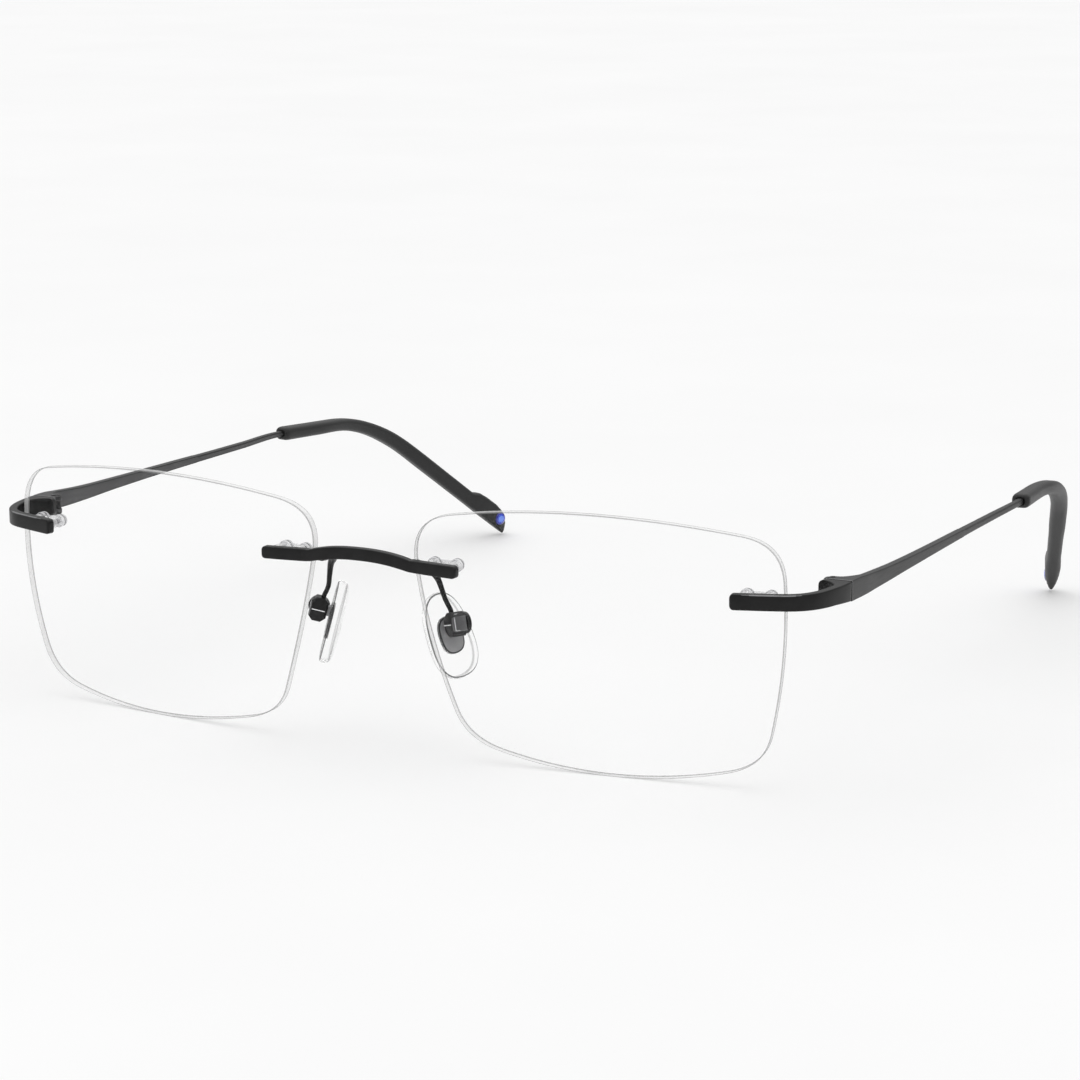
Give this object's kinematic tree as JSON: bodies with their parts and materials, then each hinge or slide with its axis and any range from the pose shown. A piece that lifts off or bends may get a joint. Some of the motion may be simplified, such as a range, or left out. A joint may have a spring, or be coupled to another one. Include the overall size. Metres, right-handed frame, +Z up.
{
  "type": "eyeglasses",
  "caption": "Rimless eyeglasses: drilled lenses on a bridge bar and wrap-round endpieces, rocking nose pads, and folding temples with soft ear tips.",
  "frame": {"origin": "on the table the glasses stand on, in the middle of their box seen from above", "axes": "+X to the wearer's left, -Y out of the lens fronts, +Y back along the temples, +Z up"},
  "size_m": [0.14, 0.144, 0.0383],
  "materials": {
    "lens": "polished clear",
    "sleeve": "clear",
    "nose_pad": "clear silicone",
    "frame_metal": "satin black",
    "temple_metal": "satin dark grey",
    "box_metal": "satin dark grey",
    "pin_metal": "satin black",
    "plate_metal": "dull grey",
    "tip_rubber": "soft matte black",
    "inlay": "glossy blue"
  },
  "bodies": {
    "front": {"bridge_bar": "frame_metal", "lens_left": "lens", "bridge_sleeve_left": "sleeve", "bridge_inner_pin_left": "pin_metal", "bridge_outer_pin_left": "pin_metal", "endpiece_sleeve_left": "sleeve", "endpiece_inner_pin_left": "pin_metal", "endpiece_outer_pin_left": "pin_metal", "endpiece_left": "frame_metal", "hinge_tongue_left": "frame_metal", "nose_arm_left": "frame_metal", "pad_box_left": "box_metal", "pad_screw_left": "pin_metal", "lens_right": "lens", "bridge_sleeve_right": "sleeve", "bridge_inner_pin_right": "pin_metal", "bridge_outer_pin_right": "pin_metal", "endpiece_sleeve_right": "sleeve", "endpiece_inner_pin_right": "pin_metal", "endpiece_outer_pin_right": "pin_metal", "endpiece_right": "frame_metal", "hinge_tongue_right": "frame_metal", "nose_arm_right": "frame_metal", "pad_box_right": "box_metal", "pad_screw_right": "pin_metal"},
    "temple_left": {"temple_bar_left": "temple_metal", "hinge_screw_left": "pin_metal", "temple_tip_left": "tip_rubber", "tip_inlay_left": "inlay"},
    "temple_right": {"temple_bar_right": "temple_metal", "hinge_screw_right": "pin_metal", "temple_tip_right": "tip_rubber", "tip_inlay_right": "inlay"},
    "nose_pad_left": {"nose_pad_left": "nose_pad", "pad_plate_left": "plate_metal"},
    "nose_pad_right": {"nose_pad_right": "nose_pad", "pad_plate_right": "plate_metal"}
  },
  "joints": [
    {"name": "temple_left_fold", "type": "hinge", "parent": "front", "child": "temple_left", "pos_m": [0.06615, -0.05353, 0.0276], "axis": [0, 0, 1], "range_deg": [0, 88]},
    {"name": "temple_right_fold", "type": "hinge", "parent": "front", "child": "temple_right", "pos_m": [-0.06615, -0.05353, 0.0276], "axis": [0, 0, 1], "range_deg": [-78, 0]},
    {"name": "nose_pad_left_rock", "type": "hinge", "parent": "front", "child": "nose_pad_left", "pos_m": [0.0117, -0.06369, 0.0186], "axis": [0.5, 0.866, 0], "range_deg": [-10, 10]},
    {"name": "nose_pad_right_rock", "type": "hinge", "parent": "front", "child": "nose_pad_right", "pos_m": [-0.0117, -0.06369, 0.0186], "axis": [0.5, -0.866, 0], "range_deg": [-10, 10]}
  ]
}
